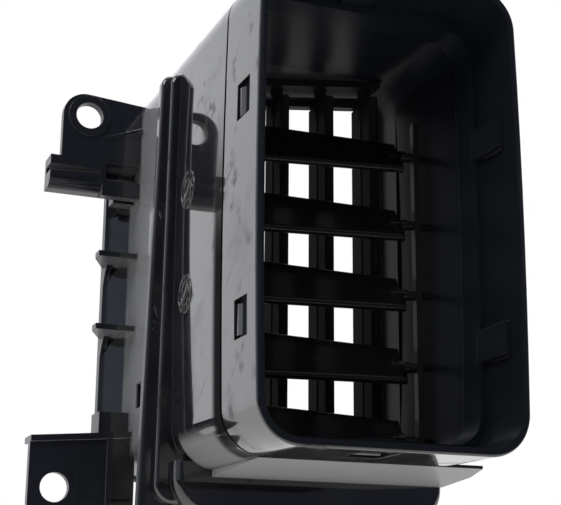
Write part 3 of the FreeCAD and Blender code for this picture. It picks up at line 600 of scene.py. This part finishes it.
@dataclass
class OutletSleeve:
    """The front sleeve, pushed on to the duct, and the seats that fill its latch windows."""

    shell: MouldedPlastic
    seat: MouldedPlastic
    depth: float = 9.0 * MM
    window_width: float = 8.7 * MM
    side_window_length: float = 7.7 * MM
    end_window_length: float = 11.1 * MM
    side_heights: tuple[float, float] = (21.4 * MM, -27.7 * MM)
    end_offset: float = -2.5 * MM
    half_width: float = 30.22 * MM
    half_height: float = 53.22 * MM
    thickness: float = 0.7 * MM
    corner: float = 0.5 * MM
    corner_points: int = 4
    top_scale: float = 0.97
    weld: float = 0.001 * MM

    def build(self) -> None:
        """Dress the sleeve and fill its windows."""
        dress("outlet_sleeve", self.shell.material())
        finish = self.seat.material()
        sides = [(Vector((side * self.half_width, self.depth, z)), facing((side, 0, 0), (0, side, 0)))
                 for side in (-1, 1) for z in self.side_heights]
        ends = [(Vector((self.end_offset, self.depth, side * self.half_height)),
                 facing((0, 0, side), (0, side, 0))) for side in (-1, 1)]
        self._seats("side_latch_seats", finish, self.side_window_length, sides)
        self._seats("end_latch_seats", finish, self.end_window_length, ends)

    def _seats(self, name: str, finish: bpy.types.Material, length: float,
               points: list[tuple[Vector, Matrix]]) -> None:
        """Make the round-cornered seats behind one kind of window.

        Args:
            name: The piece's name.
            finish: The material.
            length: The window's size along the sleeve's depth.
            points: Where each seat stands, and how it is turned.
        """
        job = Repeat(name, {"Length": length, "Width": self.window_width,
                            "Thickness": self.thickness, "Corner": self.corner})
        graph, size = job.graph, job.inputs
        outline = graph.add("GeometryNodeCurvePrimitiveQuadrilateral",
                            {"Width": size["Length"], "Height": size["Width"]}).outputs[0]
        rounded = graph.add("GeometryNodeFilletCurve", {
            "Curve": outline, "Count": self.corner_points, "Radius": size["Corner"]}, mode="POLY").outputs[0]
        plate = graph.add("GeometryNodeFillCurve", {"Curve": rounded}).outputs[0]
        lift = graph.add("ShaderNodeCombineXYZ", {"Z": size["Thickness"]}).outputs[0]
        raised = graph.add("GeometryNodeExtrudeMesh", {
            "Mesh": plate, "Offset": lift, "Offset Scale": 1.0, "Individual": False}).outputs
        top = graph.add("GeometryNodeScaleElements", {
            "Geometry": raised["Mesh"], "Selection": raised["Top"], "Scale": self.top_scale}).outputs[0]
        back = graph.add("GeometryNodeFlipFaces", {"Mesh": plate}).outputs[0]
        seat = graph.add("GeometryNodeMergeByDistance",
                         {"Geometry": job.join(top, back), "Distance": self.weld}).outputs[0]
        piece = job.finish(seat, finish, points)
        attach(piece, HOUSING)


@dataclass
class DuctBody:
    """The duct behind the sleeve, with two moulded date dials on its left wall."""

    shell: MouldedPlastic
    dial_radius: float = 4.7 * MM
    inner_radius: float = 2.7 * MM
    line: float = 0.17 * MM
    pointer: float = 1.9 * MM
    pointer_thickness: float = 2.0
    ring_points: int = 44
    ticks: int = 12
    dial_heights: tuple[float, float] = (11.4 * MM, -14.6 * MM)
    dial_depth: float = 46.6 * MM
    wall: float = 32.55 * MM

    def build(self) -> None:
        """Dress the duct and raise its dials."""
        finish = self.shell.material()
        dress("duct_body", finish)
        job = Repeat("date_dials", {"Radius": self.dial_radius, "Inner": self.inner_radius,
                                    "Line": self.line, "Pointer": self.pointer})
        dial = job.join(self._ring(job, "Radius"), self._ring(job, "Inner"), self._spokes(job),
                        self._arrow(job))
        points = [(Vector((-self.wall, self.dial_depth, z)), facing((-1, 0, 0), (0, -1, 0)))
                  for z in self.dial_heights]
        piece = job.finish(dial, finish, points)
        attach(piece, HOUSING)

    def _ring(self, job: Repeat, radius: str) -> bpy.types.NodeSocket:
        """Make one raised ring.

        Args:
            job: The dials' tree.
            radius: The name of the tree's input for the ring's radius.

        Returns:
            The ring's socket.
        """
        line = job.graph.add("GeometryNodeCurvePrimitiveCircle",
                             {"Resolution": self.ring_points, "Radius": job.inputs[radius]}).outputs[0]
        return job.tube(line, job.inputs["Line"])

    def _spokes(self, job: Repeat) -> bpy.types.NodeSocket:
        """Make the ticks between the two rings.

        Args:
            job: The dials' tree.

        Returns:
            The ticks' socket.
        """
        graph, size = job.graph, job.inputs
        middle = graph.math("MULTIPLY", graph.math("ADD", size["Radius"], size["Inner"]), 0.5)
        half = graph.math("MULTIPLY", graph.math("SUBTRACT", size["Radius"], size["Inner"]), 0.5)
        start = graph.add("ShaderNodeCombineXYZ", {"X": graph.math("MULTIPLY", half, -1.0)}).outputs[0]
        end = graph.add("ShaderNodeCombineXYZ", {"X": half}).outputs[0]
        line = graph.add("GeometryNodeCurvePrimitiveLine", {"Start": start, "End": end}).outputs[0]
        circle = graph.add("GeometryNodeCurvePrimitiveCircle",
                           {"Resolution": self.ticks, "Radius": middle}).outputs[0]
        places = graph.add("GeometryNodeCurveToPoints", {"Curve": circle}, mode="EVALUATED").outputs[0]
        angle = graph.math("MULTIPLY", graph.add("GeometryNodeInputIndex").outputs[0], math.tau / self.ticks)
        turn = graph.add("ShaderNodeCombineXYZ", {"Z": angle}).outputs[0]
        return graph.add("GeometryNodeInstanceOnPoints", {
            "Points": places, "Instance": job.tube(line, size["Line"]), "Rotation": turn}).outputs[0]

    def _arrow(self, job: Repeat) -> bpy.types.NodeSocket:
        """Make the pointer across the middle.

        Args:
            job: The dials' tree.

        Returns:
            The pointer's socket.
        """
        graph, size = job.graph, job.inputs
        tip = graph.add("ShaderNodeCombineXYZ", {"X": size["Pointer"], "Y": size["Pointer"]}).outputs[0]
        tail = graph.vector("MULTIPLY", tip, (-1.0, -1.0, -1.0))
        line = graph.add("GeometryNodeCurvePrimitiveLine", {"Start": tail, "End": tip}).outputs[0]
        return job.tube(line, graph.math("MULTIPLY", size["Line"], self.pointer_thickness))


@dataclass
class RearHousing:
    """The wedge-shaped housing with ears and rails, and the carriers inside it."""

    shell: MouldedPlastic
    inner: MouldedPlastic
    foam: CellFoam = field(default_factory=CellFoam)

    def build(self) -> None:
        """Dress the housing, the vane carriers and the seal."""
        dress("rear_housing", self.shell.material())
        carrier = self.inner.material()
        dress("vane_carrier_top", carrier)
        dress("vane_carrier_bottom", carrier)
        dress("inlet_seal", self.foam.material())


@dataclass
class VaneSet:
    """One row of vanes and the bar that joins them."""

    prefix: str
    link: str
    vane: MouldedPlastic
    bar: MouldedPlastic

    def build(self) -> None:
        """Dress every vane of the row and its link."""
        finish = self.vane.material()
        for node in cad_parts:
            if node.startswith(self.prefix) and node != self.link:
                dress(node, finish)
        dress(self.link, self.bar.material())


@dataclass(frozen=True)
class Softbox:
    """A square soft lamp that points at the vent. Lengths are metres, and power is in watts."""

    name: str
    place: tuple[float, float, float]
    size: float
    power: float

    def build(self) -> None:
        """Hang the lamp."""
        data = bpy.data.lights.new(self.name, "AREA")
        data.size = self.size
        data.energy = self.power
        lamp = bpy.data.objects.new(self.name, data)
        lamp.location = self.place
        lamp.rotation_mode = "QUATERNION"
        lamp.rotation_quaternion = (-Vector(self.place)).to_track_quat("-Z", "Y")
        bpy.context.scene.collection.objects.link(lamp)


@dataclass
class Studio:
    """Pale floor, soft light and the photograph's camera. Lengths are metres."""

    lamps: tuple[Softbox, ...] = (Softbox("key_softbox", (-0.9, -0.75, 1.1), size=0.7, power=9.0),
                                  Softbox("top_softbox", (0.25, 0.2, 1.4), size=0.9, power=10.0))
    floor_height: float = -0.125
    floor_size: float = 6.0
    floor_colour: tuple[float, float, float] = (0.85, 0.85, 0.85)
    floor_glow: float = 0.85
    glow_span: tuple[float, float] = (-0.4, 0.0)
    front_colour: tuple[float, float, float] = (0.055, 0.062, 0.09)
    left_colour: tuple[float, float, float] = (0.30, 0.33, 0.42)
    left_span: tuple[float, float] = (-0.35, -0.85)
    back_colour: tuple[float, float, float] = (0.96, 0.97, 1.0)
    back_span: tuple[float, float] = (-0.25, 0.35)
    top_colour: tuple[float, float, float] = (0.55, 0.56, 0.60)
    top_span: tuple[float, float] = (0.35, 0.9)
    lens: float = 83.42
    sensor: float = 36.0
    near: float = 0.01
    camera_place: tuple[float, float, float] = (-0.124822, -0.240184, -0.085683)
    yaw: float = 0.3864
    pitch: float = 0.2648
    roll: float = -0.0078

    def build(self) -> None:
        """Make the world, the floor, the lamps and the camera."""
        self._world()
        self._floor()
        for lamp in self.lamps:
            lamp.build()
        self._camera()
        log.info("studio ready")

    def _world(self) -> None:
        """Make a room that is white behind the vent, dim in front of it and white to the camera."""
        world = bpy.data.worlds.new("studio_room")
        bpy.context.scene.world = world
        world.use_nodes = True
        world.node_tree.nodes.clear()
        graph = NodeGraph(world.node_tree)
        way = graph.add("ShaderNodeTexCoord").outputs["Generated"]
        parts = graph.add("ShaderNodeSeparateXYZ", {0: way}).outputs
        behind = graph.ramp(parts["Y"], *self.back_span)
        above = graph.ramp(parts["Z"], *self.top_span)
        left = graph.ramp(parts["X"], *self.left_span)
        room = graph.mix(left, (*self.front_colour, 1.0), (*self.left_colour, 1.0))
        room = graph.mix(behind, room, (*self.back_colour, 1.0))
        room = graph.mix(above, room, (*self.top_colour, 1.0))
        seen = graph.add("ShaderNodeLightPath").outputs["Is Camera Ray"]
        colour = graph.mix(seen, room, (1.0, 1.0, 1.0, 1.0))
        light = graph.add("ShaderNodeBackground", {"Color": colour, "Strength": 1.0})
        graph.add("ShaderNodeOutputWorld", {"Surface": light.outputs[0]})

    def _floor(self) -> None:
        """Lay a plain pale floor that a mirror shows as nearly white behind the vent."""
        half, z = self.floor_size / 2, self.floor_height
        mesh = bpy.data.meshes.new("studio_floor")
        mesh.from_pydata([(-half, -half, z), (half, -half, z), (half, half, z), (-half, half, z)],
                         [], [(0, 1, 2, 3)])
        floor = bpy.data.objects.new("studio_floor", mesh)
        bpy.context.scene.collection.objects.link(floor)
        made, graph = new_material("pale_floor")
        matte = graph.add("ShaderNodeBsdfDiffuse", {"Color": (*self.floor_colour, 1.0)})
        place = graph.add("ShaderNodeTexCoord").outputs["Object"]
        depth = graph.add("ShaderNodeSeparateXYZ", {0: place}).outputs["Y"]
        strength = graph.math("MULTIPLY", graph.ramp(depth, *self.glow_span), self.floor_glow)
        glow = graph.add("ShaderNodeEmission", {"Color": (1.0, 1.0, 1.0, 1.0), "Strength": strength})
        mirrored = graph.add("ShaderNodeLightPath").outputs["Is Glossy Ray"]
        both = graph.add("ShaderNodeMixShader", {0: mirrored, 1: matte.outputs[0], 2: glow.outputs[0]})
        graph.add("ShaderNodeOutputMaterial", {"Surface": both.outputs[0]})
        mesh.materials.append(made)

    def _camera(self) -> None:
        """Set the camera low in front of the vent and to its left, looking up."""
        ahead = Vector((math.sin(self.yaw) * math.cos(self.pitch),
                        math.cos(self.yaw) * math.cos(self.pitch), math.sin(self.pitch)))
        right = Vector((math.cos(self.yaw), -math.sin(self.yaw), 0.0))
        down = ahead.cross(right)
        turned_right = right * math.cos(self.roll) + down * math.sin(self.roll)
        turned_down = down * math.cos(self.roll) - right * math.sin(self.roll)
        data = bpy.data.cameras.new("photo_camera")
        data.lens = self.lens
        data.sensor_width = self.sensor
        data.clip_start = self.near
        camera = bpy.data.objects.new("photo_camera", data)
        turn = Matrix((turned_right, -turned_down, -ahead)).transposed()
        camera.matrix_world = Matrix.Translation(self.camera_place) @ turn.to_4x4()
        bpy.context.scene.collection.objects.link(camera)
        bpy.context.scene.camera = camera


def main() -> None:
    """Build every sub-assembly, then the studio."""
    logging.basicConfig(level=logging.INFO, format="%(name)s: %(message)s")
    bpy.context.scene.view_settings.view_transform = "Standard"
    # The shell's zones paint shade into the joint band and reflections on to the lower corner and the
    # underside; the housing's zone paints a reflection on to its left wall.
    gloss = MouldedPlastic("gloss_black_shell", colour=(0.006, 0.006, 0.007), roughness=0.09, coat=1.0,
                           wear=Wear.HANDLED, haze=0.03,
                           zones=(INSIDE, JOINT_PAINTED_SHADE, CORNER_PAINTED_REFLECTION, SKIRT_PAINTED_REFLECTION, OUTER_EDGES))
    rear = replace(gloss, name="gloss_black_housing", haze=0.4, zones=(INSIDE, OUTER_EDGES, HOUSING_WALL_PAINTED_REFLECTION))
    seat = MouldedPlastic("dull_latch_seat", colour=(0.03, 0.031, 0.036), roughness=0.6,
                          wear=Wear.DUSTY, grain_height=FINE_GRAIN)
    satin = MouldedPlastic("satin_black_inner", colour=(0.012, 0.012, 0.013), roughness=0.35,
                           wear=Wear.DUSTY, grain_height=FINE_GRAIN)
    tilting = MouldedPlastic("semi_gloss_vane", colour=(0.008, 0.008, 0.009), roughness=0.24, coat=0.3,
                             coat_ior=1.5, ior=1.3, wear=Wear.DUSTY)
    upright = MouldedPlastic("matte_upright_vane", colour=(0.016, 0.0165, 0.019), roughness=0.7, ior=1.1,
                             wear=Wear.DUSTY, grain_height=FINE_GRAIN)
    OutletSleeve(gloss, seat).build()
    DuctBody(gloss).build()
    RearHousing(rear, satin).build()
    VaneSet("tilting_vane_", "tilting_vane_link", tilting, satin).build()
    VaneSet("upright_vane_", "upright_vane_link", upright, satin).build()
    Studio().build()


if __name__ == "__main__":
    main()
